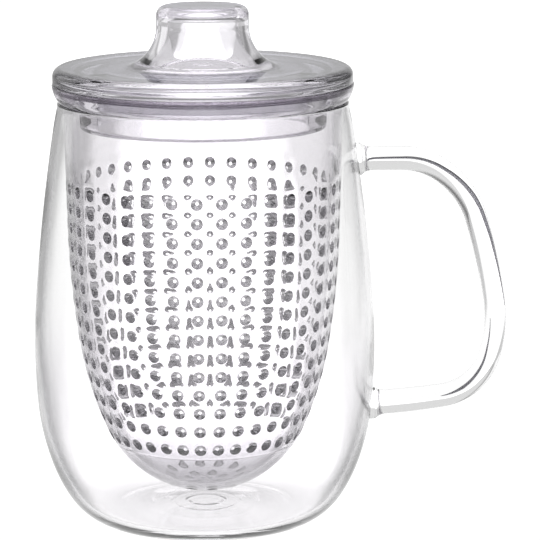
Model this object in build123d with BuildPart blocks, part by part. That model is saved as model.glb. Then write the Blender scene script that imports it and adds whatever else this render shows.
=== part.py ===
from build123d import *
import math
import os

# Lidded tea mug with a lift-out infuser.
# Frame: millimetres, +Z up, origin on the mug's axis in the plane it stands on,
# handle towards +X.
#
# Pieces: blown glass vessel, glass rod handle fused to its wall, moulded
# infuser basket hanging from the vessel's rim, moulded lid plate with its
# skirt, and a hollow knob welded to the plate.

# ---------------------------------------------------------------- dimensions
# glass vessel
rim_z = 113.8              # top of the fire-polished rim
rim_outer_r = 38.72
rim_wall = 1.52
rim_round = 0.6
foot_r = 24.5              # outer edge of the ring the mug stands on
foot_inner_r = 20.5
punt_height = 1.8          # hollow under the base
# outer wall from the foot up to the rim: (radius, height)
vessel_outer = [
    (foot_r, 0.0),
    (33.3, 3.2),
    (38.9, 10.2),
    (42.35, 18.7),
    (44.5, 27.8),
    (45.55, 40.0),
    (45.6, 53.9),
    (44.65, 67.9),
    (42.95, 84.6),
    (41.05, 98.9),
    (38.95, 111.6),
    (rim_outer_r, 113.0),
]
# glass thickness at the same stations, thicker round the base
vessel_wall = [2.3, 2.15, 1.95, 1.75, 1.65, 1.6, 1.55, 1.55, 1.55, 1.52, 1.52, rim_wall]

# glass rod handle, centre line in the XZ plane: (x, z)
rod_d = 6.2
handle_start_angle = 2.9   # degrees above horizontal where it leaves the wall
handle_points = [
    (40.8, 97.74),
    (53.04, 97.96),
    (63.25, 94.73),
    (72.82, 81.74),
    (77.83, 59.94),
    (76.64, 43.69),
    (64.07, 32.95),
    (42.15, 30.9),
]
pad_d = 8.8                # weld pad where the rod is fused to the wall
pad_neck = 2.6             # length over which the pad narrows to the rod

# infuser basket
flange_top_z = 118.6
flange_r = 40.1
flange_land_r = 38.2
basket_wall = 2.0
# outer profile, a chain of tangent arcs from the flange to the bottom centre
basket_start_angle = -90.16
basket_points = [
    (36.874, rim_z),
    (36.335, 78.761),
    (33.600, 48.964),
    (26.764, 25.445),
    (9.297, 9.103),
    (0.0, 7.49),
]
hole_outer_d = 3.1         # tapered perforations: mouth outside, throat inside
hole_inner_d = 0.9
holes_per_ring = 36
first_hole_angle = -2.86   # degrees from +X
ring_z = [91.8, 86.7, 81.6, 76.5, 71.4, 66.3, 61.2, 56.05,
          50.9, 45.75, 40.6, 35.35, 29.95, 24.4]
bottom_rings = [(5.4, 6), (11.0, 12)]   # (radius, count) round one centre hole

# lid plate
plate_r = 39.9
plate_top_z = 123.0
plate_top_round = 2.4
plate_bottom_round = 0.4
skirt_outer_r = 32.8
skirt_inner_r = 28.2
skirt_bottom_z = 107.2
skirt_round = 0.7
vent_z = 109.6             # two tapered holes through the skirt, a little in front of the sides
vent_angles = (-15.0, 195.0)
vent_inner_d = 3.4
vent_outer_d = 2.0

# knob
knob_top_z = 139.1
knob_r = 12.3
knob_top_round = 2.5
flare_centre = (23.5, 133.7)
flare_radius = 11.2        # concave flare down to the plate
cavity_centre = (21.6, 133.7)   # trumpet wall of the cavity, thinner towards the plate
cavity_radius = 12.0
cavity_top_z = 136.6
cavity_top_r = 9.5
cavity_round = 1.4

# the revolved profiles start half way between two hole columns
seam = first_hole_angle + 180.0 / holes_per_ring


def radial_plane(angle):
    """Vertical plane through the axis: local x outward at the angle, local y up."""
    a = math.radians(angle)
    return Plane(origin=(0, 0, 0), x_dir=(math.cos(a), math.sin(a), 0),
                 z_dir=(math.sin(a), -math.cos(a), 0))


def chain(points, start_angle):
    """Unit tangents at the points of a chain of tangent arcs."""
    t = (math.cos(math.radians(start_angle)), math.sin(math.radians(start_angle)))
    tangents = [t]
    for (x0, y0), (x1, y1) in zip(points, points[1:]):
        n = math.hypot(x1 - x0, y1 - y0)
        c = ((x1 - x0) / n, (y1 - y0) / n)
        dot = t[0] * c[0] + t[1] * c[1]
        t = (2 * dot * c[0] - t[0], 2 * dot * c[1] - t[1])
        tangents.append(t)
    return tangents


def inset(points, tangents, distance):
    """The same chain moved to the right of its direction."""
    return [(x + ty * distance, y - tx * distance)
            for (x, y), (tx, ty) in zip(points, tangents)]


def spline_tangents(points):
    """Central-difference directions along a list of points."""
    out = []
    for i in range(len(points)):
        a = points[max(i - 1, 0)]
        b = points[min(i + 1, len(points) - 1)]
        n = math.hypot(b[0] - a[0], b[1] - a[1])
        out.append(((b[0] - a[0]) / n, (b[1] - a[1]) / n))
    return out


os.makedirs("parts", exist_ok=True)

# -------------------------------------------------------------- glass vessel
outer_dirs = spline_tangents(vessel_outer)
outer_dirs[0] = (1.0, 0.0)
vessel_inner = [(x - ty * w, y + tx * w)
                for (x, y), (tx, ty), w in zip(vessel_outer, outer_dirs, vessel_wall)]
inner_top = (rim_outer_r - rim_wall, 113.0)
inner_line = [(0.0, 4.1), (13.0, 3.3)] + [(24.3, 2.45)] + vessel_inner[1:-1] + [inner_top]

with BuildPart() as mug_vessel:
    with BuildSketch(radial_plane(seam)):
        with BuildLine():
            Line((0, punt_height), (0, 4.1))
            Spline(inner_line, tangents=[(1.0, 0.0), (-0.06, 1.0)])
            Line(inner_top, (inner_top[0], rim_z - rim_round))
            ThreePointArc((inner_top[0], rim_z - rim_round),
                          (inner_top[0] + rim_round * 0.293, rim_z - rim_round * 0.293),
                          (inner_top[0] + rim_round, rim_z))
            Line((inner_top[0] + rim_round, rim_z), (rim_outer_r - rim_round, rim_z))
            ThreePointArc((rim_outer_r - rim_round, rim_z),
                          (rim_outer_r - rim_round * 0.293, rim_z - rim_round * 0.293),
                          (rim_outer_r, rim_z - rim_round))
            Line((rim_outer_r, rim_z - rim_round), vessel_outer[-1])
            Spline(list(reversed(vessel_outer)), tangents=[(0.06, -1.0), (-1.0, 0.0)])
            Line(vessel_outer[0], (foot_inner_r, 0.0))
            Spline((foot_inner_r, 0.0), (11.0, 1.15), (0.0, punt_height),
                   tangents=[(-1.0, 0.02), (-1.0, 0.0)])
        make_face()
    revolve(axis=Axis.Z)

# the space inside the vessel's outer skin, used to trim what is fused to it
with BuildPart() as vessel_form:
    with BuildSketch(radial_plane(seam)):
        with BuildLine():
            Line((0, 0), vessel_outer[0])
            Spline(vessel_outer, tangents=[(1.0, 0.0), (-0.06, 1.0)])
            Line(vessel_outer[-1], (0, vessel_outer[-1][1]))
            Line((0, vessel_outer[-1][1]), (0, 0))
        make_face()
    revolve(axis=Axis.Z)

# -------------------------------------------------------------- glass handle
handle_dirs = chain(handle_points, handle_start_angle)


def wall_x(z):
    """Radius of the vessel's outer wall at a height."""
    pts = sorted(vessel_outer, key=lambda p: p[1])
    for (r0, z0), (r1, z1) in zip(pts, pts[1:]):
        if z0 <= z <= z1:
            return r0 + (r1 - r0) * (z - z0) / (z1 - z0)
    return pts[-1][0]


upper_wall = wall_x(97.9)
lower_wall = wall_x(31.0)

with BuildPart() as mug_handle:
    with BuildLine(Plane.XZ) as handle_path:
        for i in range(len(handle_points) - 1):
            TangentArc(handle_points[i], handle_points[i + 1], tangent=handle_dirs[i])
    with BuildSketch(Plane(origin=(handle_points[0][0], 0, handle_points[0][1]),
                           z_dir=(handle_dirs[0][0], 0, handle_dirs[0][1]))):
        Circle(rod_d / 2)
    sweep(path=handle_path.wires()[0])
    # weld pads: the softened rod is pressed out into a short flared collar
    with BuildSketch(Plane.XZ):
        with BuildLine():
            Polyline((upper_wall - 2.5, 97.9), (upper_wall - 2.5, 97.9 + pad_d / 2),
                     (upper_wall + 1.0, 97.9 + pad_d / 2))
            Spline((upper_wall + 1.0, 97.9 + pad_d / 2),
                   (upper_wall + 1.0 + pad_neck * 0.45, 97.9 + rod_d / 2 + 0.55),
                   (upper_wall + 1.0 + pad_neck, 97.9 + rod_d / 2 - 0.05),
                   tangents=[(0.35, -1.0), (1.0, -0.12)])
            Polyline((upper_wall + 1.0 + pad_neck, 97.9 + rod_d / 2 - 0.05),
                     (upper_wall + 1.0 + pad_neck, 97.9), (upper_wall - 2.5, 97.9))
        make_face()
    revolve(axis=Axis((0, 0, 97.9), (1, 0, 0)))
    with BuildSketch(Plane.XZ):
        with BuildLine():
            Polyline((lower_wall - 2.5, 31.05), (lower_wall - 2.5, 31.05 + pad_d / 2),
                     (lower_wall + 0.9, 31.05 + pad_d / 2))
            Spline((lower_wall + 0.9, 31.05 + pad_d / 2),
                   (lower_wall + 0.9 + pad_neck * 0.45, 31.05 + rod_d / 2 + 0.55),
                   (lower_wall + 0.9 + pad_neck, 31.05 + rod_d / 2 - 0.05),
                   tangents=[(0.35, -1.0), (1.0, -0.12)])
            Polyline((lower_wall + 0.9 + pad_neck, 31.05 + rod_d / 2 - 0.05),
                     (lower_wall + 0.9 + pad_neck, 31.05), (lower_wall - 2.5, 31.05))
        make_face()
    revolve(axis=Axis((0, 0, 31.05), (1, 0, 0)))
    add(vessel_form.part, mode=Mode.SUBTRACT)

# ------------------------------------------------------------ infuser basket
basket_dirs = chain(basket_points, basket_start_angle)
basket_inner = inset(basket_points, basket_dirs, basket_wall)
basket_inner[0] = (basket_points[0][0] - basket_wall, rim_z)
basket_inner[-1] = (0.0, basket_points[-1][1] + basket_wall)
inner_dirs = chain(basket_inner, basket_start_angle)


def arc_chain_radius(points, dirs, z):
    """Radius of an arc chain at a height, found on its circular arcs."""
    for (p0, p1, t) in zip(points, points[1:], dirs):
        if p1[1] - 1e-9 <= z <= p0[1] + 1e-9:
            cx, cy = p1[0] - p0[0], p1[1] - p0[1]
            n = (t[1], -t[0])
            d = (cx * cx + cy * cy) / (2 * (cx * n[0] + cy * n[1]))
            centre = (p0[0] + n[0] * d, p0[1] + n[1] * d)
            root = math.sqrt(max(d * d - (z - centre[1]) ** 2, 0.0))
            return centre[0] + root
    return 0.0


def arc_chain_height(points, dirs, r):
    """Height of the lower part of an arc chain at a radius."""
    lo, hi = points[-1][1], points[0][1]
    for _ in range(60):
        mid = (lo + hi) / 2
        if arc_chain_radius(points, dirs, mid) < r:
            lo = mid
        else:
            hi = mid
    return (lo + hi) / 2


mould_z = 21.9             # side slides and bottom core meet here
pitch_angle = 360.0 / holes_per_ring
section_outer = [(arc_chain_radius(basket_points, basket_dirs, z), z)
                 for z in (rim_z, 100.0, 85.0, 72.0, 60.0, 49.0, 40.0, 32.0, 25.0, 18.0, 12.5, 9.103)]
section_outer.append(basket_points[-1])
section_inner = [(arc_chain_radius(basket_inner, inner_dirs, z), z)
                 for z in (rim_z, 100.0, 85.0, 72.0, 60.0, 49.0, 40.0, 32.0, 25.0, 19.0, 14.0, 11.0)]
section_inner.append(basket_inner[-1])


def basket_section():
    """Lines of the basket's closed half section, for a BuildLine."""
    Spline(section_outer, tangents=[basket_dirs[0], (-1.0, 0.0)])
    Line(basket_points[-1], basket_inner[-1])
    Spline(section_inner, tangents=[inner_dirs[0], (-1.0, 0.0)])
    Line(basket_inner[0], (basket_inner[0][0], flange_top_z - 0.4))
    Line((basket_inner[0][0], flange_top_z - 0.4), (basket_inner[0][0] + 0.4, flange_top_z))
    Line((basket_inner[0][0] + 0.4, flange_top_z), (flange_r - 0.3, flange_top_z))
    Line((flange_r - 0.3, flange_top_z), (flange_r, flange_top_z - 0.3))
    ThreePointArc((flange_r, flange_top_z - 0.3), (39.55, 115.9), (flange_land_r, rim_z))
    Line((flange_land_r, rim_z), basket_points[0])


# One column of side perforations in a wedge of wall. The holes are horizontal
# and radial, and narrow towards the inside.
with BuildPart() as wall_wedge:
    with BuildSketch(radial_plane(first_hole_angle - pitch_angle / 2)):
        with BuildLine():
            basket_section()
        make_face()
        with Locations((0, mould_z - 50)):
            Rectangle(200, 100, mode=Mode.SUBTRACT)
    revolve(axis=Axis.Z, revolution_arc=pitch_angle)
    for z in ring_z:
        r = arc_chain_radius(basket_points, basket_dirs, z)
        r_in = arc_chain_radius(basket_inner, inner_dirs, z)
        taper = (hole_outer_d - hole_inner_d) / 2 / (r - r_in)
        before = 0.6
        reach = 0.5 * hole_inner_d / 2 / taper
        with Locations(Location((0, 0, z), (0, 0, first_hole_angle))
                       * Location(((r_in - reach + r + before) / 2, 0, 0), (0, 90, 0))):
            Cone(hole_inner_d / 2 - reach * taper, hole_outer_d / 2 + before * taper,
                 (r - r_in) + before + reach, mode=Mode.SUBTRACT)

# The rounded bottom below the mould line, with its upright perforations.
with BuildPart() as bottom_cap:
    with BuildSketch(radial_plane(first_hole_angle - pitch_angle / 2)):
        with BuildLine():
            basket_section()
        make_face()
        with Locations((0, mould_z + 100)):
            Rectangle(200, 200, mode=Mode.SUBTRACT)
    revolve(axis=Axis.Z)
    bottom = [(0.0, 0.0)]
    for ring_r, count in bottom_rings:
        for k in range(count):
            a = math.radians(first_hole_angle + 12.0 + k * 360.0 / count)
            bottom.append((ring_r * math.cos(a), ring_r * math.sin(a)))
    for x, y in bottom:
        rr = math.hypot(x, y)
        z_out = arc_chain_height(basket_points, basket_dirs, rr) if rr > 0 else basket_points[-1][1]
        z_in = arc_chain_height(basket_inner, inner_dirs, rr) if rr > 0 else basket_inner[-1][1]
        taper = (hole_outer_d - hole_inner_d) / 2 / (z_in - z_out)
        before = 0.8
        reach = 0.5 * hole_inner_d / 2 / taper
        with Locations((x, y, (z_out - before + z_in + reach) / 2)):
            Cone(hole_outer_d / 2 + before * taper, hole_inner_d / 2 - reach * taper,
                 (z_in - z_out) + before + reach, mode=Mode.SUBTRACT)


def is_cut_face(face):
    """True on the two radial planes that bound the wedge."""
    if face.geom_type != GeomType.PLANE:
        return False
    n = face.normal_at(face.center())
    c = face.center()
    reach = math.hypot(c.X, c.Y)
    return abs(n.Z) < 1e-6 and abs(n.X * c.X + n.Y * c.Y) / reach < 0.2


# The wall is the wedge repeated all the way round, closed into one skin.
wall_faces = [f for f in wall_wedge.faces() if not is_cut_face(f)]
wall = Solid(Shell([f.rotate(Axis.Z, pitch_angle * k)
                    for k in range(holes_per_ring) for f in wall_faces]))

with BuildPart() as infuser_basket:
    add(wall)
    add(bottom_cap.part, clean=False)

# ----------------------------------------------------------------- lid plate
with BuildPart() as lid_plate:
    with BuildSketch(radial_plane(seam)):
        with BuildLine():
            Polyline((0, flange_top_z), (skirt_inner_r, flange_top_z),
                     (skirt_inner_r, skirt_bottom_z), (skirt_outer_r, skirt_bottom_z),
                     (skirt_outer_r, flange_top_z), (plate_r, flange_top_z),
                     (plate_r, plate_top_z), (0, plate_top_z), close=True)
        make_face()
    revolve(axis=Axis.Z)
    circles = lid_plate.edges().filter_by(GeomType.CIRCLE)
    fillet([e for e in circles if abs(e.radius - plate_r) < 1e-3 and e.center().Z > plate_top_z - 0.1],
           plate_top_round)
    fillet([e for e in lid_plate.edges().filter_by(GeomType.CIRCLE)
            if abs(e.radius - plate_r) < 1e-3 and abs(e.center().Z - flange_top_z) < 0.1],
           plate_bottom_round)
    fillet([e for e in lid_plate.edges().filter_by(GeomType.CIRCLE)
            if abs(e.center().Z - skirt_bottom_z) < 1e-3], skirt_round)
    fillet([e for e in lid_plate.edges().filter_by(GeomType.CIRCLE)
            if abs(e.center().Z - flange_top_z) < 1e-3 and e.radius < skirt_outer_r + 0.1], 0.8)
    skirt_t = skirt_outer_r - skirt_inner_r
    slope = (vent_inner_d - vent_outer_d) / 2 / skirt_t
    with Locations((0, 0, vent_z)):
        for angle in vent_angles:
            with PolarLocations((skirt_inner_r + skirt_outer_r) / 2, 1, start_angle=angle):
                Cone(vent_inner_d / 2 + slope * 0.7, vent_outer_d / 2 - slope * 0.7, skirt_t + 1.4,
                     rotation=(0, 90, 0), mode=Mode.SUBTRACT)

# ---------------------------------------------------------------------- knob
flare_end_r = flare_centre[0] - math.sqrt(flare_radius ** 2 - (flare_centre[1] - plate_top_z) ** 2)
flare_mid = math.radians(180 + 36)
mouth_r = cavity_centre[0] - math.sqrt(cavity_radius ** 2 - (cavity_centre[1] - plate_top_z) ** 2)
mouth_start = math.radians(180 + 2.4)
mouth_mid = math.radians(180 + 32)

with BuildPart() as lid_knob:
    with BuildSketch(radial_plane(seam)):
        with BuildLine():
            Line((mouth_r, plate_top_z), (flare_end_r, plate_top_z))
            ThreePointArc((flare_end_r, plate_top_z),
                          (flare_centre[0] + flare_radius * math.cos(flare_mid),
                           flare_centre[1] + flare_radius * math.sin(flare_mid)),
                          (knob_r, flare_centre[1]))
            Line((knob_r, flare_centre[1]), (knob_r, knob_top_z - knob_top_round))
            ThreePointArc((knob_r, knob_top_z - knob_top_round),
                          (knob_r - knob_top_round * 0.293, knob_top_z - knob_top_round * 0.293),
                          (knob_r - knob_top_round, knob_top_z))
            Line((knob_r - knob_top_round, knob_top_z), (0, knob_top_z))
            Line((0, knob_top_z), (0, cavity_top_z))
            Line((0, cavity_top_z), (cavity_top_r - cavity_round, cavity_top_z))
            ThreePointArc((cavity_top_r - cavity_round, cavity_top_z),
                          (cavity_top_r - cavity_round * 0.293, cavity_top_z - cavity_round * 0.293),
                          (cavity_top_r, cavity_top_z - cavity_round))
            Line((cavity_top_r, cavity_top_z - cavity_round),
                 (cavity_centre[0] + cavity_radius * math.cos(mouth_start),
                  cavity_centre[1] + cavity_radius * math.sin(mouth_start)))
            ThreePointArc((cavity_centre[0] + cavity_radius * math.cos(mouth_start),
                           cavity_centre[1] + cavity_radius * math.sin(mouth_start)),
                          (cavity_centre[0] + cavity_radius * math.cos(mouth_mid),
                           cavity_centre[1] + cavity_radius * math.sin(mouth_mid)),
                          (mouth_r, plate_top_z))
        make_face()
    revolve(axis=Axis.Z)

# -------------------------------------------------------------------- export
mug_vessel.part.label = "mug_vessel"
export_step(mug_vessel.part, "parts/mug_vessel.step")
mug_handle.part.label = "mug_handle"
export_step(mug_handle.part, "parts/mug_handle.step")
infuser_basket.part.label = "infuser_basket"
export_step(infuser_basket.part, "parts/infuser_basket.step", write_pcurves=False)
lid_plate.part.label = "lid_plate"
export_step(lid_plate.part, "parts/lid_plate.step", write_pcurves=False)
lid_knob.part.label = "lid_knob"
export_step(lid_knob.part, "parts/lid_knob.step")
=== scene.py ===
import math

import bpy
import numpy as np
from mathutils import Matrix, Vector


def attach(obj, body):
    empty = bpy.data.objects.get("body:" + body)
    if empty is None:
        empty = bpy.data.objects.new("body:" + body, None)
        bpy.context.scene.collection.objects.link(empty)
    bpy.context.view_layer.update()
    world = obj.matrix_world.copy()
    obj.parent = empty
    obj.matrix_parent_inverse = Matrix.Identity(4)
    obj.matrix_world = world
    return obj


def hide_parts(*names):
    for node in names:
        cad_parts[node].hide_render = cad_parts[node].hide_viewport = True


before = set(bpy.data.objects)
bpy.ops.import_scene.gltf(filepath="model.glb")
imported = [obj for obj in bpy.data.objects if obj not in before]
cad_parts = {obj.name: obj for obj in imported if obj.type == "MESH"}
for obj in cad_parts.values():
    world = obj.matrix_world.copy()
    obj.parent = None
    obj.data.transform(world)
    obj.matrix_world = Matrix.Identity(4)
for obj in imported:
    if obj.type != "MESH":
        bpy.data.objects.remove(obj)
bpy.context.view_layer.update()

MM = 0.001
COLS = 288                      # columns round every turned piece, 1.25 degrees each
FIRST = -2.86                   # azimuth of the first column of perforations, degrees
STEP = 360.0 / COLS


# ------------------------------------------------------------ profile helpers
def unit(v):
    v = np.asarray(v, float)
    return v / np.linalg.norm(v)


def spline(points, start, end, step=0.6):
    """Smooth curve through the points with the given end directions."""
    p = np.array(points, float)
    n = len(p)
    h = np.linalg.norm(np.diff(p, axis=0), axis=1)
    a = np.zeros((n, n))
    b = np.zeros((n, 2))
    a[0, 0] = a[-1, -1] = 1.0
    b[0], b[-1] = unit(start), unit(end)
    for i in range(1, n - 1):
        a[i, i - 1], a[i, i], a[i, i + 1] = h[i], 2 * (h[i - 1] + h[i]), h[i - 1]
        b[i] = 3 * (h[i - 1] / h[i] * (p[i + 1] - p[i]) + h[i] / h[i - 1] * (p[i] - p[i - 1]))
    m = np.linalg.solve(a, b)
    out = []
    for i in range(n - 1):
        k = max(2, int(math.ceil(h[i] / step)))
        for j in range(k):
            t = j / k
            out.append((2 * t**3 - 3 * t**2 + 1) * p[i] + (t**3 - 2 * t**2 + t) * h[i] * m[i]
                       + (-2 * t**3 + 3 * t**2) * p[i + 1] + (t**3 - t**2) * h[i] * m[i + 1])
    out.append(p[-1])
    return [tuple(q) for q in out]


def arc(centre, radius, a0, a1, n=8):
    """Points on a circular arc, angles in degrees, ends included."""
    return [(centre[0] + radius * math.cos(math.radians(a0 + (a1 - a0) * i / n)),
             centre[1] + radius * math.sin(math.radians(a0 + (a1 - a0) * i / n))) for i in range(n + 1)]


def line(p, q, n):
    """n steps from p to q, without the first point."""
    return [(p[0] + (q[0] - p[0]) * i / n, p[1] + (q[1] - p[1]) * i / n) for i in range(1, n + 1)]


def joined(*runs):
    """One list of points out of several runs, with doubled points dropped."""
    out = []
    for run in runs:
        for q in run:
            if not out or math.hypot(q[0] - out[-1][0], q[1] - out[-1][1]) > 1e-6:
                out.append((float(q[0]), float(q[1])))
    return out


def tangents(points):
    out = []
    for i in range(len(points)):
        p, q = points[max(i - 1, 0)], points[min(i + 1, len(points) - 1)]
        n = math.hypot(q[0] - p[0], q[1] - p[1])
        out.append(((q[0] - p[0]) / n, (q[1] - p[1]) / n))
    return out


def chain(points, angle):
    t = (math.cos(math.radians(angle)), math.sin(math.radians(angle)))
    out = [t]
    for (x0, y0), (x1, y1) in zip(points, points[1:]):
        n = math.hypot(x1 - x0, y1 - y0)
        c = ((x1 - x0) / n, (y1 - y0) / n)
        d = t[0] * c[0] + t[1] * c[1]
        t = (2 * d * c[0] - t[0], 2 * d * c[1] - t[1])
        out.append(t)
    return out


# --------------------------------------------------------------- mesh builder
class Skin:
    """Vertices and faces of a turned skin, with holes punched through it."""

    def __init__(self):
        self.v = []
        self.f = []
        self.mat = []

    def add(self, x, y, z):
        self.v.append((x * MM, y * MM, z * MM))
        return len(self.v) - 1

    def face(self, ids, mat=0):
        clean = [i for k, i in enumerate(ids) if i != ids[k - 1]]
        if len(clean) > 2:
            self.f.append(clean)
            self.mat.append(mat)

    def turn(self, rows, closed=False, skip=(), mats=None, first=FIRST):
        """Turns a profile round the axis. skip holds (row, column) quads that are left out."""
        skip = set(skip)
        grid = []
        for r, z in rows:
            if r < 1e-9:
                i = self.add(0, 0, z)
                grid.append([i] * COLS)
                continue
            grid.append([self.add(r * math.cos(math.radians(first + STEP * j)),
                                  r * math.sin(math.radians(first + STEP * j)), z) for j in range(COLS)])
        n = len(rows)
        for i in range(n if closed else n - 1):
            a, b = grid[i], grid[(i + 1) % n]
            m = mats[i] if mats else 0
            for j in range(COLS):
                if (i, j) in skip:
                    continue
                k = (j + 1) % COLS
                self.face([a[j], a[k], b[k], b[j]], m)
        return grid

    def ring(self, loops, mat=0):
        """Quads between successive closed loops of the same length."""
        for a, b in zip(loops, loops[1:]):
            for k in range(len(a)):
                q = (k + 1) % len(a)
                self.face([a[k], a[q], b[q], b[k]], mat)

    def piece(self, name, sharp=32.0):
        me = bpy.data.meshes.new(name)
        me.from_pydata(self.v, [], self.f)
        me.polygons.foreach_set("use_smooth", [True] * len(self.f))
        kind = me.attributes.new("kind", "FLOAT", "FACE")
        kind.data.foreach_set("value", [float(k) for k in self.mat])
        me.update()
        me.set_sharp_from_angle(angle=math.radians(sharp))
        ob = bpy.data.objects.new(name, me)
        bpy.context.scene.collection.objects.link(ob)
        return ob


def perimeter(i0, i1, j0, j1):
    """Grid corners round a block of rows i0..i1 and columns j0..j1, with their directions from its middle."""
    out = []
    for j in range(j0, j1):
        out.append((i0, j))
    for i in range(i0, i1):
        out.append((i, j1))
    for j in range(j1, j0, -1):
        out.append((i1, j))
    for i in range(i1, i0, -1):
        out.append((i, j0))
    mi, mj = (i0 + i1) / 2, (j0 + j1) / 2
    ang = [math.atan2((i - mi) / (i1 - i0), (j - mj) / (j1 - j0)) for i, j in out]
    return out, ang


# -------------------------------------------------------------- glass vessel
RIM_Z, RIM_R, RIM_WALL, RIM_ROUND = 113.8, 38.72, 1.52, 0.6
VESSEL = [(24.5, 0.0), (33.3, 3.2), (38.9, 10.2), (42.35, 18.7), (44.5, 27.8), (45.55, 40.0),
          (45.6, 53.9), (44.65, 67.9), (42.95, 84.6), (41.05, 98.9), (38.95, 111.6), (RIM_R, 113.0)]
WALL = [2.3, 2.15, 1.95, 1.75, 1.65, 1.6, 1.55, 1.55, 1.55, 1.52, 1.52, RIM_WALL]
dirs = tangents(VESSEL)
dirs[0] = (1.0, 0.0)
inner = [(x - ty * w, y + tx * w) for (x, y), (tx, ty), w in zip(VESSEL, dirs, WALL)]
inner_line = [(0.0, 4.1), (13.0, 3.3), (24.3, 2.45)] + inner[1:-1] + [(RIM_R - RIM_WALL, 113.0)]
outer_run = spline(VESSEL, (1.0, 0.0), (-0.06, 1.0), 0.9)
inner_run = spline(inner_line, (1.0, 0.0), (-0.06, 1.0), 0.7)
punt = spline([(20.5, 0.0), (11.0, 1.15), (0.0, 1.8)], (-1.0, 0.02), (-1.0, 0.0), 0.25)


def swell(r, at, width, height):
    """A low ring left in the glass by the working of the floor."""
    return height * math.exp(-((r - at) / width) ** 2)


# pontil mark with two fainter rings round it underneath, and one wide ring inside
punt = [(r, z + swell(r, 4.9, 0.6, 0.15) + swell(r, 8.8, 0.7, 0.07) + swell(r, 13.5, 0.9, 0.05)) for r, z in punt]
inner_run = [(r, z + (swell(r, 23.8, 0.8, 0.12) if z < 6 else 0.0)) for r, z in inner_run]
ri = RIM_R - RIM_WALL
vessel_rows = joined(
    list(reversed(punt)),
    line((20.5, 0.0), (24.5, 0.0), 3),
    outer_run,
    arc((RIM_R - RIM_ROUND, RIM_Z - RIM_ROUND), RIM_ROUND, 0, 90, 8),
    arc((ri + RIM_ROUND, RIM_Z - RIM_ROUND), RIM_ROUND, 90, 180, 8),
    list(reversed(inner_run)))

skin = Skin()
skin.turn(vessel_rows)
vessel = skin.piece("mug_vessel_glass")

# -------------------------------------------------------------- glass handle
HANDLE = [(40.8, 97.74), (53.04, 97.96), (63.25, 94.73), (72.82, 81.74),
          (77.83, 59.94), (76.64, 43.69), (64.07, 32.95), (42.15, 30.9)]


def arc_points(points, angle, step):
    """Points and directions along a chain of tangent arcs."""
    dirs = chain(points, angle)
    out = []
    for (p, q, t) in zip(points, points[1:], dirs):
        cx, cy = q[0] - p[0], q[1] - p[1]
        n = (t[1], -t[0])
        dot = cx * n[0] + cy * n[1]
        chord = math.hypot(cx, cy)
        if abs(dot) < 1e-6:
            k = max(2, int(chord / step))
            out += [((p[0] + cx * i / k, p[1] + cy * i / k), t) for i in range(k)]
            continue
        d = chord * chord / (2 * dot)
        centre = (p[0] + n[0] * d, p[1] + n[1] * d)
        a0 = math.atan2(p[1] - centre[1], p[0] - centre[0])
        half = math.asin(max(-1.0, min(1.0, chord / (2 * abs(d)))))
        sweep = -math.copysign(2 * half, d)
        k = max(2, int(abs(sweep * d) / step))
        for i in range(k):
            a = a0 + sweep * i / k
            pos = (centre[0] + abs(d) * math.cos(a), centre[1] + abs(d) * math.sin(a))
            s = math.copysign(1.0, sweep)
            out.append((pos, (-s * math.sin(a), s * math.cos(a))))
    out.append((points[-1], dirs[-1]))
    return out


def vessel_radius(z):
    zs = [q[1] for q in outer_run]
    return float(np.interp(z, zs, [q[0] for q in outer_run]))


path = arc_points(HANDLE, 2.9, 0.7)
length = [0.0]
for (p, _), (q, _) in zip(path, path[1:]):
    length.append(length[-1] + math.hypot(q[0] - p[0], q[1] - p[1]))
total = length[-1]
# the drawn rod is a little thicker near its ends than on the far side
rod_s = [0.0, 0.12, 0.3, 0.55, 0.75, 0.9, 1.0]
rod_r = [3.2, 3.2, 3.0, 2.87, 3.05, 3.25, 3.3]
PAD_R, PAD_NECK = 4.4, 2.6


def collar(x):
    """Extra radius of the weld pad at a distance from the glass wall."""
    if x <= 0.7:
        return 1.0
    t = min(max((x - 0.7) / (PAD_NECK + 0.5), 0.0), 1.0)
    return (1 - t) ** 2.6


RODCOLS = 64
GAP = 0.02


def rod_surface(s):
    """Centre and direction at a length along the rod."""
    i = min(int(np.searchsorted(length, s, side="right")) - 1, len(path) - 2)
    t = (s - length[i]) / (length[i + 1] - length[i])
    (p, tp), (q, tq) = path[i], path[i + 1]
    c = (p[0] + (q[0] - p[0]) * t, p[1] + (q[1] - p[1]) * t)
    d = unit((tp[0] + (tq[0] - tp[0]) * t, tp[1] + (tq[1] - tp[1]) * t))
    return c, d


skin = Skin()
loops = []
s_list = list(np.concatenate([np.linspace(0, 6.5, 28), np.linspace(6.5, total - 6.5, 220)[1:],
                              np.linspace(total - 6.5, total, 28)[1:]]))
for s in s_list:
    c, d = rod_surface(s)
    base = float(np.interp(s / total, rod_s, rod_r))
    wall = vessel_radius(c[1])
    near = s < total / 2
    out_from_wall = c[0] - wall
    extra = collar(out_from_wall) * (PAD_R - base) if (s < 9 or s > total - 9) else 0.0
    rr = base + extra
    nx, nz = -d[1], d[0]
    ids = []
    for k in range(RODCOLS):
        a = 2 * math.pi * k / RODCOLS
        y = -rr * math.sin(a)
        x = c[0] + nx * rr * math.cos(a)
        z = c[1] + nz * rr * math.cos(a)
        if s < 9 or s > total - 9:
            # the ends lie on the vessel's outer skin
            rv = vessel_radius(z) + GAP
            lim = math.sqrt(max(rv * rv - y * y, 0.0))
            x = max(x, lim)
        ids.append((x, y, z))
    loops.append(ids)
# rows that were pushed onto the wall collapse into one seam row each end
start = max(i for i in range(40) if min(q[0] for q in loops[i]) <= vessel_radius(loops[i][0][2]) + 0.05 or i == 0)


def on_wall(loop):
    return all(q[0] <= math.sqrt(max((vessel_radius(q[2]) + GAP) ** 2 - q[1] ** 2, 0)) + 1e-6 for q in loop)


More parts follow.
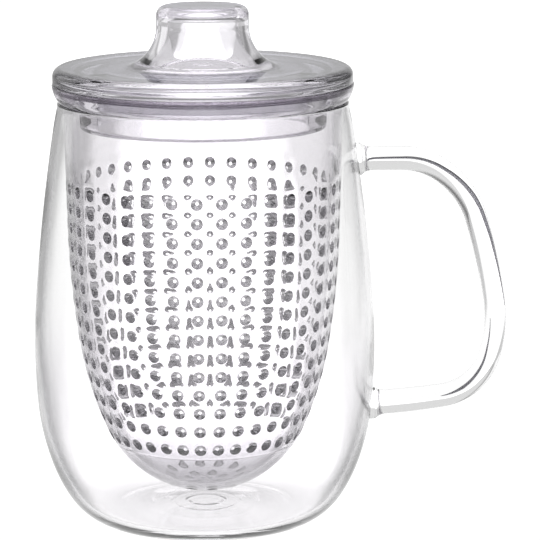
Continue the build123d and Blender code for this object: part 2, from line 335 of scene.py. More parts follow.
first_row = max([i for i in range(60) if on_wall(loops[i])] or [0])
last_row = min([i for i in range(len(loops) - 60, len(loops)) if on_wall(loops[i])] or [len(loops) - 1])
loops = loops[first_row:last_row + 1]
rows = [[skin.add(*q) for q in loop] for loop in loops]
skin.ring(rows)
for loop, row, flip in ((loops[0], rows[0], True), (loops[-1], rows[-1], False)):
    # the end lies against the vessel wall in three inner rings
    cz = sum(q[2] for q in loop) / len(loop)
    prev = row
    for f in (0.7, 0.4, 0.15):
        ring = []
        for q in loop:
            y, z = q[1] * f, cz + (q[2] - cz) * f
            x = math.sqrt(max((vessel_radius(z) + GAP) ** 2 - y * y, 0.0))
            ring.append(skin.add(x, y, z))
        skin.ring([ring, prev] if flip else [prev, ring])
        prev = ring
    x = vessel_radius(cz) + GAP
    mid = skin.add(x, 0, cz)
    for k in range(RODCOLS):
        q = (k + 1) % RODCOLS
        skin.face([mid, prev[k], prev[q]] if flip else [mid, prev[q], prev[k]])
# fine air lines were drawn out with the rod: one starts in the middle of the top run and drifts to the outside
# of the bend, a short one lies in the lower bend
AIRCOLS = 20
AIR = (
    ([2.2, 3.0, 4.5, 12.0, 24.0, 34.0, 46.0, 64.0],
     [-0.5, -0.15, 0.0, 0.05, 0.5, 1.2, 1.75, 1.95],
     [0.16, 0.26, 0.24, 0.26, 0.42, 0.52, 0.42, 0.1], 130),
    ([total - 50.0, total - 42.0, total - 34.0, total - 28.0, total - 22.0],
     [-0.9, -0.7, -0.35, 0.0, 0.15],
     [0.06, 0.2, 0.34, 0.4, 0.08], 60),
)
for air_s, air_off, air_r, count in AIR:
    rows = []
    for s in np.linspace(air_s[0], air_s[-1], count):
        c, d = rod_surface(s)
        nx, nz = -d[1], d[0]
        off, rr = float(np.interp(s, air_s, air_off)), float(np.interp(s, air_s, air_r))
        rows.append([skin.add(c[0] + nx * (off + rr * math.cos(a)), rr * math.sin(a), c[1] + nz * (off + rr * math.cos(a)))
                     for a in (2 * math.pi * k / AIRCOLS for k in range(AIRCOLS))])
    skin.ring(rows, 1)
    for row, s, flip in ((rows[0], air_s[0] - 0.3, True), (rows[-1], air_s[-1] + 0.5, False)):
        c, d = rod_surface(s)
        off = float(np.interp(s, air_s, air_off))
        tip = skin.add(c[0] - d[1] * off, 0.0, c[1] + d[0] * off)
        for k in range(AIRCOLS):
            q = (k + 1) % AIRCOLS
            skin.face([tip, row[k], row[q]] if flip else [tip, row[q], row[k]], 1)
handle = skin.piece("mug_handle_rod")

# ------------------------------------------------------------ infuser basket
FLANGE_TOP, FLANGE_R, LAND_R, BASKET_WALL = 118.6, 40.1, 38.2, 2.0
BASKET = [(36.874, RIM_Z), (36.335, 78.761), (33.6, 48.964), (26.764, 25.445), (9.297, 9.103), (0.0, 7.49)]
bdirs = chain(BASKET, -90.16)
BASKET_IN = [(x + ty * BASKET_WALL, y - tx * BASKET_WALL) for (x, y), (tx, ty) in zip(BASKET, bdirs)]
BASKET_IN[0] = (BASKET[0][0] - BASKET_WALL, RIM_Z)
BASKET_IN[-1] = (0.0, BASKET[-1][1] + BASKET_WALL)
outer_chain = [p for p, _ in arc_points(BASKET, -90.16, 0.05)]
inner_chain = [p for p, _ in arc_points(BASKET_IN, -90.16, 0.05)]
oz = np.array([q[1] for q in outer_chain])[::-1]
orr = np.array([q[0] for q in outer_chain])[::-1]
iz = np.array([q[1] for q in inner_chain])[::-1]
irr = np.array([q[0] for q in inner_chain])[::-1]
MOULD_Z = 21.9


def out_r(z):
    r = np.interp(z, oz, orr)
    return float(r - 0.05 * math.exp(-((z - MOULD_Z) / 0.12) ** 2))


def in_r(z):
    return float(np.interp(z, iz, irr))


def out_z(r):
    return float(np.interp(r, orr, oz))


def in_z(r):
    return float(np.interp(r, irr, iz))


RINGS = [91.8, 86.7, 81.6, 76.5, 71.4, 66.3, 61.2, 56.05, 50.9, 45.75, 40.6, 35.35, 29.95, 24.4]
BOTTOM = [(5.4, 6), (11.0, 12)]
D_OUT, D_IN = 3.1, 0.9
K = 8                            # grid steps across a perforation's cell

edges = [RINGS[0] + 2.55] + [(a + b) / 2 for a, b in zip(RINGS, RINGS[1:])] + [RINGS[-1] - 2.3]
rows_up = list(reversed(edges))  # cell borders from the bottom up


def side_rows(radius):
    """Rows of the perforated wall, from the bottom up."""
    out = []
    for lo, hi in zip(rows_up, rows_up[1:]):
        for k in range(K):
            z = lo + (hi - lo) * k / K
            out.append((radius(z), z))
    out.append((radius(rows_up[-1]), rows_up[-1]))
    return out


def bottom_rows(height, hole_r):
    """Rows of the rounded bottom, from the centre hole outwards."""
    rs = [hole_r]
    rs += list(np.linspace(max(2.2, hole_r + 0.3), 3.45, 3))
    rs += list(np.linspace(3.45, 7.35, K + 1))[1:]
    rs += list(np.linspace(7.35, 8.95, 3))[1:]
    rs += list(np.linspace(8.95, 13.05, K + 1))[1:]
    rs += list(np.linspace(13.05, 17.5, 7))[1:]
    return [(r, height(r)) for r in rs]


taper0 = (D_OUT - D_IN) / 2 / BASKET_WALL
ob = bottom_rows(out_z, D_OUT / 2)
ib = bottom_rows(in_z, D_IN / 2)
cap_lo = ob[-1][1]
seam_z = [z for z in np.linspace(ob[-1][1], rows_up[0], 22)][1:-1]
seam_z = sorted(seam_z + [MOULD_Z - 0.3, MOULD_Z - 0.15, MOULD_Z - 0.07, MOULD_Z, MOULD_Z + 0.07])
seam_out = [(out_r(z), z) for z in seam_z if cap_lo + 0.05 < z < rows_up[0] - 0.02]
seam_in = [(in_r(z), z) for z in np.linspace(ib[-1][1], rows_up[0], 22)][1:-1]
wall_out = side_rows(out_r)
wall_in = side_rows(in_r)
top_out = [(out_r(z), z) for z in np.linspace(rows_up[-1], RIM_Z - 0.35, 24)][1:]
fillet_run = arc((out_r(RIM_Z) + 0.35, RIM_Z - 0.35), 0.35, 180, 90, 5)
edge_run = joined(line((LAND_R, RIM_Z), (LAND_R, RIM_Z), 1),
                  spline([(LAND_R, RIM_Z), (39.5, 115.8), (FLANGE_R, FLANGE_TOP - 0.4)], (1.0, 0.75), (0.08, 1.0), 0.35),
                  arc((FLANGE_R - 0.4, FLANGE_TOP - 0.4), 0.4, 0, 90, 5))
inner_top = in_r(RIM_Z)
top_in = joined(arc((inner_top + 0.4, FLANGE_TOP - 0.4), 0.4, 90, 180, 4),
                [(inner_top, z) for z in np.linspace(FLANGE_TOP - 0.4, RIM_Z, 5)],
                [(in_r(z), z) for z in np.linspace(RIM_Z, rows_up[-1], 24)][1:-1])

basket_rows = (ob + seam_out + wall_out + top_out
               + fillet_run[1:] + line(fillet_run[-1], (LAND_R, RIM_Z), 2)[:-1] + edge_run
               + line(edge_run[-1], (inner_top + 0.4, FLANGE_TOP), 6)[:-1] + top_in
               + list(reversed(wall_in)) + list(reversed(seam_in)) + list(reversed(ib)))
o0 = len(ob) + len(seam_out)                       # first row of the outer wall cells
n_rows = len(basket_rows)
i_top = n_rows - len(ib) - len(seam_in) - len(wall_in)   # top row of the inner wall cells

blocks = []        # (outer block, inner block, kind, azimuth, height or radius)
for n, z in enumerate(reversed(RINGS)):
    for c in range(36):
        j0 = c * K - K // 2
        blocks.append(((o0 + n * K, o0 + (n + 1) * K, j0, j0 + K),
                       (i_top + (13 - n) * K, i_top + (14 - n) * K, j0, j0 + K),
                       "side", FIRST + 10.0 * c, z))
for (ring_r, count), row0, half in zip(BOTTOM, (3, 13), (16, 8)):
    row0 = min(range(len(ob)), key=lambda i: abs(ob[i][0] - {5.4: 3.45, 11.0: 8.95}[ring_r]))
    for c in range(count):
        az = FIRST + 12.0 + c * 360.0 / count
        jm = int(round((az - FIRST) / STEP))
        last = n_rows - 1
        blocks.append(((row0, row0 + K, jm - half, jm + half),
                       (last - row0 - K, last - row0, jm - half, jm + half), "foot", az, ring_r))

skip = []
for o, i, *_ in blocks:
    for b in (o, i):
        skip += [(r, c % COLS) for r in range(b[0], b[1]) for c in range(b[2], b[3])]

skin = Skin()
# kind 2 marks the outer lip of the flange, which gets a painted shade
edge_mats = [2 if 116.9 < min(a[1], b[1]) and min(a[0], b[0]) > 39.78 else 0
             for a, b in zip(basket_rows, basket_rows[1:] + basket_rows[:1])]
grid = skin.turn(basket_rows, closed=True, skip=skip, mats=edge_mats)


def hole_point(kind, az, where, outside, phi):
    """Point of a perforation's edge on the outer or inner face: (azimuth, place along the wall, xyz)."""
    radial = out_r if outside else in_r
    height = out_z if outside else in_z
    r = (D_OUT if outside else D_IN) / 2
    a = math.radians(az)
    er, et = (math.cos(a), math.sin(a)), (-math.sin(a), math.cos(a))
    for _ in range(4):
        t, b = r * math.cos(phi), r * math.sin(phi)
        if kind == "side":
            z = where + b
            x = math.sqrt(radial(z) ** 2 - t * t)
            full = radial(where) - (0 if outside else 0)
            thick = out_r(where) - in_r(where)
            r = (D_OUT if outside else D_IN) / 2 + (x - full) * (D_OUT - D_IN) / 2 / thick
            p = (er[0] * x + et[0] * t, er[1] * x + et[1] * t, z)
        else:
            q = where + b
            rad = math.hypot(q, t)
            z = height(rad)
            thick = in_z(where) - out_z(where)
            r = (D_OUT if outside else D_IN) / 2 + (height(where) - z) * (D_OUT - D_IN) / 2 / thick
            p = (er[0] * q + et[0] * t, er[1] * q + et[1] * t, z)
    th = math.degrees(math.atan2(p[1], p[0]))
    th = az + ((th - az + 180.0) % 360.0 - 180.0)
    return th, (p[2] if kind == "side" else math.hypot(p[0], p[1])), p


def wall_point(kind, outside, th, s):
    if kind == "side":
        r, z = (out_r if outside else in_r)(s), s
    else:
        r, z = s, (out_z if outside else in_z)(s)
    return (r * math.cos(math.radians(th)), r * math.sin(math.radians(th)), z)


def punch(block, kind, az, where, outside):
    """Rings from the border of a cell to the edge of its hole. Returns the hole's edge and its directions."""
    ring, ang = perimeter(*block)
    border = [grid[i][j % COLS] for i, j in ring]
    if not outside:
        ang = [-x for x in ang]
    edge = [hole_point(kind, az, where, outside, x) for x in ang]
    rows = basket_rows
    start = [(FIRST + STEP * j, rows[i][1] if kind == "side" else rows[i][0]) for i, j in ring]
    loops = [border]
    for f in ((0.45, 0.8) if outside else (0.4, 0.72, 0.9)):
        loops.append([skin.add(*wall_point(kind, outside, a0 + (e[0] - a0) * f, s0 + (e[1] - s0) * f))
                      for (a0, s0), e in zip(start, edge)])
    loops.append([skin.add(*e[2]) for e in edge])
    skin.ring(loops)
    return loops[-1], ang


# between the pins the wall sank a little as it cooled, which shrinks what is seen through it
SINK = 0.075
ring_pos = [(RINGS[0] + 5.1, -1.0)] + [(z, float(n)) for n, z in enumerate(RINGS)]
rz = [q[0] for q in reversed(ring_pos)]
rn = [q[1] for q in reversed(ring_pos)]


def sink(th, z):
    """How far the outer face lies below its nominal radius."""
    v = float(np.interp(z, rz, rn))
    u = (th - FIRST) / 10.0
    fade = min(max((v + 0.85) / 0.35, 0.0), 1.0) * min(max((z - rows_up[0]) / 1.2, 0.0), 1.0)
    if z > RINGS[0] + 5.0:
        fade = 0.0
    return SINK * fade * (0.25 * (1 - math.cos(2 * math.pi * u)) + 0.25 * (1 - math.cos(2 * math.pi * v)))


outer_ids = set()
for i in range(o0 + 1, o0 + 14 * K + 9):
    outer_ids.update(grid[i])

for o, i, kind, az, where in blocks:
    before = len(skin.v)
    out_edge, out_ang = punch(o, kind, az, where, True)
    if kind == "side":
        outer_ids.update(range(before, len(skin.v)))
    in_edge, in_ang = punch(i, kind, az, where, False)
    match = []
    for x in out_ang:
        best = min(range(len(in_ang)), key=lambda k: abs(math.remainder(in_ang[k] - x, 2 * math.pi)))
        match.append(in_edge[best])
    mid = []
    for u, w in zip(out_edge, match):
        p, q = skin.v[u], skin.v[w]
        mid.append(skin.add(*[(p[k] + q[k]) / 2 / MM for k in range(3)]))
    skin.ring([out_edge, mid, match], 1)
for n in outer_ids:
    x, y, z = (q / MM for q in skin.v[n])
    r = math.hypot(x, y)
    k = (r - sink(math.degrees(math.atan2(y, x)), z)) / r
    skin.v[n] = (x * k * MM, y * k * MM, z * MM)
basket = skin.piece("infuser_basket_shell", 30.0)

# ----------------------------------------------------------------------- lid
# The knob is welded to the plate, so both are one skin, with the sealed cavity as a second skin inside.
PLATE_R, PLATE_TOP, PLATE_ROUND, PLATE_UNDER = 39.9, 123.0, 2.4, 0.4
SK_O, SK_I, SK_Z, SK_R = 32.8, 28.2, 107.2, 0.7
VENT_Z, VENT_IN, VENT_OUT = 109.6, 3.4, 2.0
KNOB_TOP, KNOB_R, KNOB_ROUND = 139.1, 12.3, 2.5
FC, FR = (23.5, 133.7), 11.2
CC, CR = (21.6, 133.7), 12.0     # trumpet wall of the cavity
CAV_Z, CAV_R, CAV_ROUND = 136.6, 9.5, 1.4
LIFT = 0.02                      # the plate rests on the flange without sharing its face
base_z = FLANGE_TOP + LIFT
vent_lo, vent_hi = SK_Z + SK_R, SK_Z + SK_R + 3.4
vent_rows = [vent_lo + (vent_hi - vent_lo) * k / K for k in range(K + 1)]
lid_rows = joined(
    [(0.0, base_z)], line((0.0, base_z), (SK_I - 0.8, base_z), 14),
    arc((SK_I - 0.8, base_z - 0.8), 0.8, 90, 0, 5),
    line((SK_I, base_z - 0.8), (SK_I, vent_hi), 4))
v_in0 = len(lid_rows) - 1
lid_rows += [(SK_I, z) for z in reversed(vent_rows)][1:]
v_in1 = len(lid_rows) - 1
lid_rows = lid_rows + arc((SK_I + SK_R, SK_Z + SK_R), SK_R, 180, 270, 6)[1:] \
    + line((SK_I + SK_R, SK_Z), (SK_O - SK_R, SK_Z), 4) \
    + arc((SK_O - SK_R, SK_Z + SK_R), SK_R, 270, 360, 6)[1:]
v_out0 = len(lid_rows) - 1
lid_rows += [(SK_O, z) for z in vent_rows][1:]
v_out1 = len(lid_rows) - 1

# flare of the knob, rounded into the plate by a small weld fillet
WELD = 0.5
fr = FR - WELD
foot_dz = FC[1] - (PLATE_TOP + WELD)
weld_x = FC[0] - math.sqrt((FR + WELD) ** 2 - foot_dz ** 2) if FR + WELD > foot_dz else FC[0]
weld_c = (FC[0] - math.sqrt((FR - 0.0) ** 2 - (FC[1] - PLATE_TOP) ** 2), PLATE_TOP)
flare_end = math.degrees(math.atan2(PLATE_TOP - FC[1], -math.sqrt(FR**2 - (FC[1] - PLATE_TOP) ** 2))) % 360
flare = arc(FC, FR, flare_end - 3.0, 180, 44)
run_in = spline([(weld_c[0] + 1.6, PLATE_TOP), (weld_c[0] + 0.3, PLATE_TOP + 0.06), flare[0]],
                (-1.0, 0.0), (flare[1][0] - flare[0][0], flare[1][1] - flare[0][1]), 0.2)
lid_rows += joined(line((SK_O, vent_hi), (SK_O, base_z - 0.8), 4),
                   arc((SK_O + 0.8, base_z - 0.8), 0.8, 180, 90, 5),
                   line((SK_O + 0.8, base_z), (PLATE_R - PLATE_UNDER, base_z), 4),
                   arc((PLATE_R - PLATE_UNDER, base_z + PLATE_UNDER), PLATE_UNDER, 270, 360, 5),
                   line((PLATE_R, base_z + PLATE_UNDER), (PLATE_R, PLATE_TOP - PLATE_ROUND), 3),
                   arc((PLATE_R - PLATE_ROUND, PLATE_TOP - PLATE_ROUND), PLATE_ROUND, 0, 90, 14),
                   line((PLATE_R - PLATE_ROUND, PLATE_TOP), (weld_c[0] + 1.6, PLATE_TOP), 10),
                   run_in, flare,
                   line(flare[-1], (KNOB_R, KNOB_TOP - KNOB_ROUND), 3),
                   arc((KNOB_R - KNOB_ROUND, KNOB_TOP - KNOB_ROUND), KNOB_ROUND, 0, 90, 14),
                   line((KNOB_R - KNOB_ROUND, KNOB_TOP), (0.0, KNOB_TOP), 8))
HALF = 5
vents = []
for c in range(2):
    jm = (276, 156)[c]
    vents.append(((v_out0, v_out1, jm - HALF, jm + HALF), (v_in0, v_in1, jm - HALF, jm + HALF), jm * STEP))
skip = []
for o, i, _ in vents:
    for b in (o, i):
        skip += [(r, c % COLS) for r in range(b[0], b[1]) for c in range(b[2], b[3])]
skin = Skin()
grid = skin.turn(lid_rows, skip=skip, first=0.0)
for o, i, az in vents:
    made = []
    for block, rad, dia in ((o, SK_O, VENT_OUT), (i, SK_I, VENT_IN)):
        ring, ang = perimeter(*block)
        if rad == SK_I:
            ang = [-x for x in ang]
        border = [grid[r][c % COLS] for r, c in ring]
        edge, loops = [], [border]
        for x in ang:
            t, b = dia / 2 * math.cos(x), dia / 2 * math.sin(x)
            edge.append((math.degrees(math.asin(t / rad)) + az, VENT_Z + b))
        start = [(STEP * c, lid_rows[r][1]) for r, c in ring]
        for f in (0.4, 0.75, 1.0):
            loop = []
            for (a0, z0), (a1, z1) in zip(start, edge):
                th, z = math.radians(a0 + (a1 - a0) * f), z0 + (z1 - z0) * f
                loop.append(skin.add(rad * math.cos(th), rad * math.sin(th), z))
            loops.append(loop)
        skin.ring(loops)
        made.append((loops[-1], ang))
    (oe, oa), (ie, ia) = made
    match = [ie[min(range(len(ia)), key=lambda k: abs(math.remainder(ia[k] - x, 2 * math.pi)))] for x in oa]
    mids = []
    for f in (0.33, 0.66):
        mids.append([skin.add(*[(skin.v[u][k] * (1 - f) + skin.v[w][k] * f) / MM for k in range(3)])
                     for u, w in zip(oe, match)])
    skin.ring([oe, *mids, match], 1)

# sealed cavity: ceiling, trumpet wall, and the plate's own top with the gate mark in its middle
mouth_end = math.degrees(math.atan2(PLATE_TOP - CC[1], -math.sqrt(CR**2 - (CC[1] - PLATE_TOP) ** 2))) % 360
mouth = arc(CC, CR, 186.0, mouth_end - 2.0, 40)
cavity = joined(
    [(0.0, CAV_Z)], line((0.0, CAV_Z), (CAV_R - CAV_ROUND, CAV_Z), 8),
    arc((CAV_R - CAV_ROUND, CAV_Z - CAV_ROUND), CAV_ROUND, 90, 4, 8),
    spline([arc((CAV_R - CAV_ROUND, CAV_Z - CAV_ROUND), CAV_ROUND, 4, 3, 1)[0], (9.53, 133.8), mouth[0]],
           (0.05, -1.0), (mouth[1][0] - mouth[0][0], mouth[1][1] - mouth[0][1]), 0.3),
    mouth, line(mouth[-1], (mouth[-1][0] + 0.05, PLATE_TOP), 2),
    line((mouth[-1][0], PLATE_TOP), (2.3, PLATE_TOP), 10),
    spline([(2.3, PLATE_TOP), (1.75, PLATE_TOP + 0.16), (1.2, PLATE_TOP)], (-1.0, 0.0), (-1.0, 0.0), 0.1),
    line((1.2, PLATE_TOP), (0.0, PLATE_TOP), 3))
skin.turn(cavity, first=0.0, mats=[3] * len(cavity))
lid_piece = skin.piece("lid_plate_and_knob", 32.0)


# ----------------------------------------------------------------- materials
class Graph:
    """Small helper for wiring math nodes."""

    def __init__(self, tree):
        self.t = tree

    def put(self, socket, value):
        if isinstance(value, (int, float)):
            socket.default_value = value
        else:
            self.t.links.new(value, socket)

    def math(self, op, a, b=None, clamp=False):
        n = self.t.nodes.new("ShaderNodeMath")
        n.operation = op
        n.use_clamp = clamp
        self.put(n.inputs[0], a)
        if b is not None:
            self.put(n.inputs[1], b)
        return n.outputs[0]

    def ramp(self, value, x0, x1, y0, y1, kind="SMOOTHSTEP"):
        n = self.t.nodes.new("ShaderNodeMapRange")
        n.interpolation_type = kind
        n.clamp = True
        self.put(n.inputs["Value"], value)
        for key, v in (("From Min", x0), ("From Max", x1), ("To Min", y0), ("To Max", y1)):
            n.inputs[key].default_value = v
        return n.outputs["Result"]

    def mix(self, fac, a, b):
        """Colour between a and b."""
        n = self.t.nodes.new("ShaderNodeMix")
        n.data_type = "RGBA"
        self.put(n.inputs[0], fac)
        for sock, v in ((n.inputs[6], a), (n.inputs[7], b)):
            if isinstance(v, tuple):
                sock.default_value = (*v, 1.0)
            else:
                self.t.links.new(v, sock)
        return n.outputs[2]

    def noise(self, scale, detail=2.0, rough=0.5):
        n = self.t.nodes.new("ShaderNodeTexNoise")
        n.inputs["Scale"].default_value = scale
        n.inputs["Detail"].default_value = detail
        n.inputs["Roughness"].default_value = rough
        c = self.t.nodes.new("ShaderNodeTexCoord")
        self.t.links.new(c.outputs["Object"], n.inputs["Vector"])
        return n.outputs["Fac"]

    def kind(self, value):
        """1 on the faces of one kind: 1 is a drilled or pinned wall, 2 is the flange's lip."""
        n = self.t.nodes.new("ShaderNodeAttribute")
        n.attribute_type = "GEOMETRY"
        n.attribute_name = "kind"
        c = self.t.nodes.new("ShaderNodeMath")
        c.operation = "COMPARE"
        self.t.links.new(n.outputs["Fac"], c.inputs[0])
        c.inputs[1].default_value = float(value)
        c.inputs[2].default_value = 0.25
        return c.outputs[0]

    def up(self):
        n = self.t.nodes.new("ShaderNodeNewGeometry")
        x = self.t.nodes.new("ShaderNodeSeparateXYZ")
        self.t.links.new(n.outputs["Normal"], x.inputs["Vector"])
        return x.outputs["Z"]

    def height(self):
        """Height above the table, in metres."""
        c = self.t.nodes.new("ShaderNodeTexCoord")
        x = self.t.nodes.new("ShaderNodeSeparateXYZ")
        self.t.links.new(c.outputs["Object"], x.inputs["Vector"])
        return x.outputs["Z"]

    def bump(self, height, distance, bsdf):
        n = self.t.nodes.new("ShaderNodeBump")
        n.inputs["Strength"].default_value = 1.0
        n.inputs["Distance"].default_value = distance
        self.t.links.new(height, n.inputs["Height"])
        self.t.links.new(n.outputs["Normal"], bsdf.inputs["Normal"])

    def facing(self, blend=0.5):
        n = self.t.nodes.new("ShaderNodeLayerWeight")
        n.inputs["Blend"].default_value = blend
        return n.outputs["Facing"]


def material(name, ior, rough, tint=None, density=0.0):
    """Clear material on the principled shader, with room for a tint that deepens with thickness."""
    m = bpy.data.materials.new(name)
    m.use_nodes = True
    nt = m.node_tree
    nt.nodes.clear()
    out = nt.nodes.new("ShaderNodeOutputMaterial")
    bsdf = nt.nodes.new("ShaderNodeBsdfPrincipled")
    nt.links.new(bsdf.outputs["BSDF"], out.inputs["Surface"])
    bsdf.inputs["Base Color"].default_value = (1.0, 1.0, 1.0, 1.0)
    bsdf.inputs["IOR"].default_value = ior
    bsdf.inputs["Roughness"].default_value = rough
    bsdf.inputs["Transmission Weight"].default_value = 1.0
    if density:
        vol = nt.nodes.new("ShaderNodeVolumeAbsorption")
        vol.inputs["Color"].default_value = (*tint, 1.0)
        vol.inputs["Density"].default_value = density
        nt.links.new(vol.outputs["Volume"], out.inputs["Volume"])
    return m, Graph(nt), bsdf


def paint_edge_shade(g, bsdf, x0, x1, clear, dark, low=None, z0=0.0, z1=0.0, lx0=0.5, lx1=0.86):
    """Painted shade: the colour darkens where the surface turns away from the eye, a painted dark outline, and more so
    low down on the thick curved wall, a painted dark lower edge.
    """
    colour = g.mix(g.ramp(g.facing(), x0, x1, 0.0, 1.0), clear, dark)
    if low:
        steep = g.ramp(g.math("ABSOLUTE", g.up()), 0.74, 0.965, 1.0, 0.0)
        where = g.math("MULTIPLY", g.ramp(g.height(), z0, z1, 1.0, 0.0), steep)
        colour = g.mix(g.math("MULTIPLY", where, g.ramp(g.facing(), lx0, lx1, 0.0, 1.0)), colour, low)
    g.put(bsdf.inputs["Base Color"], colour)
    return colour


def surface(g, bsdf, wave, wave_scale, grain, grain_scale, rough_lo, rough_hi, dull=0.0):
    """Slow waviness, a fine grain and patches of slightly duller gloss."""
    slow = g.math("MULTIPLY", g.noise(wave_scale, 2.0, 0.45), wave)
    fine = g.math("MULTIPLY", g.noise(grain_scale, 3.0, 0.6), grain)
    g.bump(g.math("ADD", slow, fine), 1.0, bsdf)
    gloss = g.ramp(g.noise(wave_scale * 2.3, 3.0, 0.55), 0.42, 0.7, rough_lo, rough_hi)
    g.put(bsdf.inputs["Roughness"], g.math("MAXIMUM", gloss, g.math("MULTIPLY", g.kind(1), dull)) if dull else gloss)


glass, gg, gb = material("blown_glass", 1.48, 0.0)
# painted shade: the glass is coloured a little greyer below 3 to 6.5 cm, and its edges and low curved wall are painted
# dark
glass_tone_and_low_shade = gg.mix(gg.ramp(gg.height(), 0.03, 0.065, 0.0, 1.0), (0.94, 0.932, 0.945), (1.0, 1.0, 1.0))
paint_edge_shade(gg, gb, 0.55, 0.975, glass_tone_and_low_shade, (0.38, 0.375, 0.39), (0.03, 0.03, 0.033), 0.008, 0.058, 0.52, 0.82)
surface(gg, gb, 0.00012, 38.0, 0.0000006, 900.0, 0.0, 0.012)
rod_glass, rg, rb = material("rod_glass", 1.48, 0.0)
# painted shade: the rod's edges are painted dark, and the walls of its air lines are painted dark grey for the dark
# streak they show
rod_colour = paint_edge_shade(rg, rb, 0.76, 0.97, (1.0, 1.0, 1.0), (0.03, 0.03, 0.034))
rg.put(rb.inputs["Base Color"], rg.mix(rg.kind(1), rod_colour, (0.15, 0.148, 0.165)))
surface(rg, rb, 0.00004, 60.0, 0.0000006, 900.0, 0.0, 0.012)

plastic, pg, pb = material("clear_plastic", 1.52, 0.0, (0.7725, 0.75, 0.795), 34.0)
# painted shade: the basket is coloured darker towards its rounded bottom, below 1 to 2.6 cm, and its edges and low
# curved wall are painted dark
clear_with_low_shade = pg.mix(pg.ramp(pg.height(), 0.010, 0.026, 0.0, 1.0), (0.65, 0.64, 0.665), (0.995, 0.985, 1.0))
skin_colour = paint_edge_shade(pg, pb, 0.55, 0.975, clear_with_low_shade, (0.33, 0.32, 0.35), (0.03, 0.03, 0.034), 0.018, 0.036, 0.45, 0.86)
surface(pg, pb, 0.00003, 70.0, 0.0000012, 1400.0, 0.0, 0.02, 0.16)
# cone walls of the perforations: the pins leave them a little duller than the polished skin. Their grey colour with a
# random grain is a painted shade, lighter where the wall faces down and darker where it faces up.
grain = pg.ramp(pg.noise(2600.0, 2.0, 0.6), 0.3, 0.7, 0.0, 1.0)
up = pg.ramp(pg.up(), -0.8, 0.8, 0.0, 1.0)
pin_grain_and_shade = pg.mix(up, pg.mix(grain, (0.62, 0.61, 0.635), (0.78, 0.77, 0.79)), pg.mix(grain, (0.23, 0.225, 0.24), (0.32, 0.315, 0.33)))
# the walls of the upright pins of the rounded bottom, below 2 cm, get a darker painted shade
pin_grain_and_shade = pg.mix(pg.ramp(pg.height(), 0.0195, 0.0205, 0.0, 1.0), (0.14, 0.137, 0.147), pin_grain_and_shade)
# outer lip of the flange against the plate, painted near black with a random dash pattern as a painted shade
dash = pg.ramp(pg.noise(1500.0, 2.0, 0.7), 0.35, 0.65, 0.0, 1.0)
lip_painted_shade = pg.mix(dash, (0.10, 0.085, 0.115), (0.17, 0.15, 0.185))
pg.put(pb.inputs["Base Color"], pg.mix(pg.kind(2), pg.mix(pg.kind(1), skin_colour, pin_grain_and_shade), lip_painted_shade))

lid_mat, lg, lb = material("smoke_plastic", 1.52, 0.0, (0.75, 0.725, 0.79), 7.0)
# painted shade: the top of the knob, above 13.82 cm, is coloured darker, and the lid's edges are painted dark
lid_tone_and_top_shade = lg.mix(lg.ramp(lg.height(), 0.1382, 0.139, 0.0, 1.0), (0.985, 0.972, 1.0), (0.66, 0.645, 0.685))
skin_colour = paint_edge_shade(lg, lb, 0.6, 0.93, lid_tone_and_top_shade, (0.06, 0.058, 0.092))
surface(lg, lb, 0.00002, 60.0, 0.0000012, 1400.0, 0.0, 0.02, 0.3)
# drilled vent walls are dull; their near black colour and near zero transmission are a painted shade, so they read
# dark through the clear skirt
drill = lg.ramp(lg.noise(1800.0, 2.0, 0.6), 0.35, 0.65, 0.0, 1.0)
vent_painted_shade = lg.mix(drill, (0.010, 0.011, 0.018), (0.022, 0.024, 0.036))
lg.put(lb.inputs["Base Color"], lg.mix(lg.kind(3), lg.mix(lg.kind(1), skin_colour, vent_painted_shade), (0.98, 0.975, 0.985)))
lg.put(lb.inputs["Transmission Weight"], lg.ramp(lg.kind(1), 0.0, 1.0, 1.0, 0.02, "LINEAR"))

for obj, mat, node, body, slot in (
        (vessel, glass, "mug_vessel", "mug", "clear_glass"),
        (handle, rod_glass, "mug_handle", "mug", "handle_glass"),
        (basket, plastic, "infuser_basket", "infuser", "infuser_plastic"),
        (lid_piece, lid_mat, ("lid_plate", "lid_knob"), "lid", "lid_plastic")):
    obj.data.materials.append(mat)
    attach(obj, body)
    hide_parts(*((node,) if isinstance(node, str) else node))

# --------------------------------------------------------------------- stage
bpy.ops.mesh.primitive_circle_add(vertices=128, radius=6.0, fill_type="NGON", location=(0, 0, -0.0001))
floor = bpy.context.object
floor.name = "floor"
FLOOR_LIT, FLOOR_REST, FLOOR_LEFT, FLOOR_RIGHT, FLOOR_FRONT = 1.8, 1.07, 0.48, 0.55, 0.8
m = bpy.data.materials.new("floor_white")
m.use_nodes = True
nt = m.node_tree
nt.nodes.clear()
g = Graph(nt)
out = nt.nodes.new("ShaderNodeOutputMaterial")
emi = nt.nodes.new("ShaderNodeEmission")
nt.links.new(emi.outputs["Emission"], out.inputs["Surface"])
geo = nt.nodes.new("ShaderNodeNewGeometry")
sep = nt.nodes.new("ShaderNodeSeparateXYZ")
nt.links.new(geo.outputs["Position"], sep.inputs["Vector"])
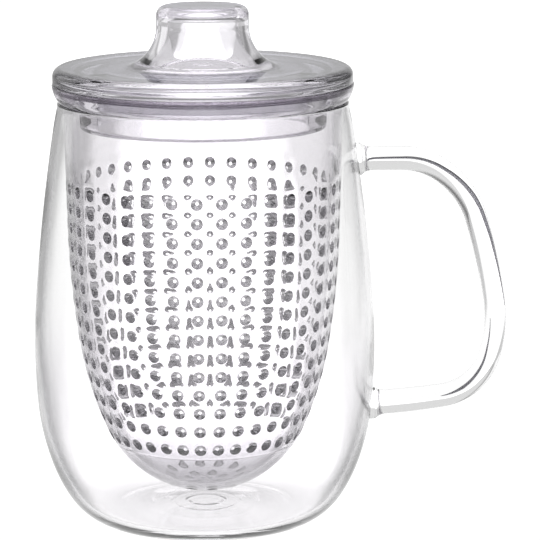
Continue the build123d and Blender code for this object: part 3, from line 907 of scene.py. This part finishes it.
# the left and the front of the table get less light, and a soft contact shadow lies under the mug
X, Y = sep.outputs["X"], sep.outputs["Y"]
left = g.math("SUBTRACT", g.math("MULTIPLY", Y, -0.08), 0.066)      # left border at this depth
side = g.math("SUBTRACT", left, X)
lit_side = g.ramp(side, 0.0, 0.08, 1.0, FLOOR_LEFT)
lit_side = g.math("MULTIPLY", lit_side, g.ramp(g.math("SUBTRACT", X, g.math("MULTIPLY", Y, 0.3)), 0.16, 0.32, 1.0, FLOOR_RIGHT))
lit_front = g.ramp(Y, -0.13, -0.05, FLOOR_FRONT, 1.0)
wedge = g.math("DIVIDE", g.math("ABSOLUTE", X), g.math("ADD", g.math("MAXIMUM", Y, -0.3), 0.8))
radius = g.math("SQRT", g.math("ADD", g.math("MULTIPLY", X, X), g.math("MULTIPLY", Y, Y)))
shade = g.ramp(radius, 0.026, 0.05, 0.61, 1.0)
hot = g.ramp(wedge, 0.036, 0.066, FLOOR_LIT, FLOOR_REST)              # brightest straight behind the mug
# towards its far edge the floor fades to the backdrop's own level, so that no line shows between them
far = g.ramp(Y, 1.5, 4.5, 0.0, 1.0)
hot = g.math("ADD", g.math("MULTIPLY", hot, g.math("SUBTRACT", 1.0, far)),
             g.math("MULTIPLY", far, g.ramp(wedge, 0.06, 0.15, 1.75, 0.9)))
level = g.math("MULTIPLY", g.math("MULTIPLY", hot, shade), g.math("MULTIPLY", lit_side, lit_front))
# well in front of the mug the table is evenly lit
near = g.ramp(Y, -0.36, -0.14, 0.0, 1.0)
g.put(emi.inputs["Strength"], g.math("ADD", g.math("MULTIPLY", level, near), g.math("SUBTRACT", 1.0, near)))
floor.data.materials.append(m)

# soft boxes: azimuth (0 is straight behind the mug, + to the right), elevation,
# half width, half height, softness, strength, all angles in degrees
BASE = 0.26
BOXES = [
    (0, 28, 17, 38, 14, 0.64),
    (-46, 7, 11, 22, 10, 0.95),
    (52, 6, 6, 18, 10, 0.3),
]
world = bpy.data.worlds.new("studio")
bpy.context.scene.world = world
world.use_nodes = True
nt = world.node_tree
nt.nodes.clear()
g = Graph(nt)
out = nt.nodes.new("ShaderNodeOutputWorld")
bg = nt.nodes.new("ShaderNodeBackground")
nt.links.new(bg.outputs["Background"], out.inputs["Surface"])
tc = nt.nodes.new("ShaderNodeTexCoord")
sep = nt.nodes.new("ShaderNodeSeparateXYZ")
nt.links.new(tc.outputs["Generated"], sep.inputs["Vector"])
az = g.math("MULTIPLY", g.math("ARCTAN2", sep.outputs["X"], sep.outputs["Y"]), 180 / math.pi)
el = g.math("MULTIPLY", g.math("ARCSINE", sep.outputs["Z"]), 180 / math.pi)
total_light = BASE
for a0, e0, hw, hh, soft, power in BOXES:
    da = g.math("ABSOLUTE", g.math("SUBTRACT", az, a0))
    de = g.math("ABSOLUTE", g.math("SUBTRACT", el, e0))
    box = g.math("MULTIPLY", g.ramp(da, hw, hw + soft, power, 0.0), g.ramp(de, hh, hh + soft, 1.0, 0.0))
    total_light = g.math("ADD", box, total_light)
g.put(bg.inputs["Strength"], total_light)

# -------------------------------------------------------------------- camera
cam_data = bpy.data.cameras.new("camera")
cam = bpy.data.objects.new("camera", cam_data)
bpy.context.scene.collection.objects.link(cam)
cam_data.sensor_width = 36.0
cam_data.lens = 200.0
cam_data.clip_start = 0.01
cam_data.clip_end = 50.0
eye, aim = Vector((0.0, -0.7904, 0.2201)), Vector((0.0176, 0.0, 0.06777))
cam.location = eye
cam.rotation_mode = "QUATERNION"
cam.rotation_quaternion = (aim - eye).to_track_quat("-Z", "Y") @ Matrix.Rotation(math.radians(-0.18), 4, "Z").to_quaternion()
bpy.context.scene.camera = cam

scene = bpy.context.scene
scene.view_settings.view_transform = "Standard"
scene.cycles.max_bounces = 32
scene.cycles.transmission_bounces = 32
scene.cycles.glossy_bounces = 16
scene.cycles.transparent_max_bounces = 32
scene.cycles.caustics_refractive = True
scene.cycles.caustics_reflective = True
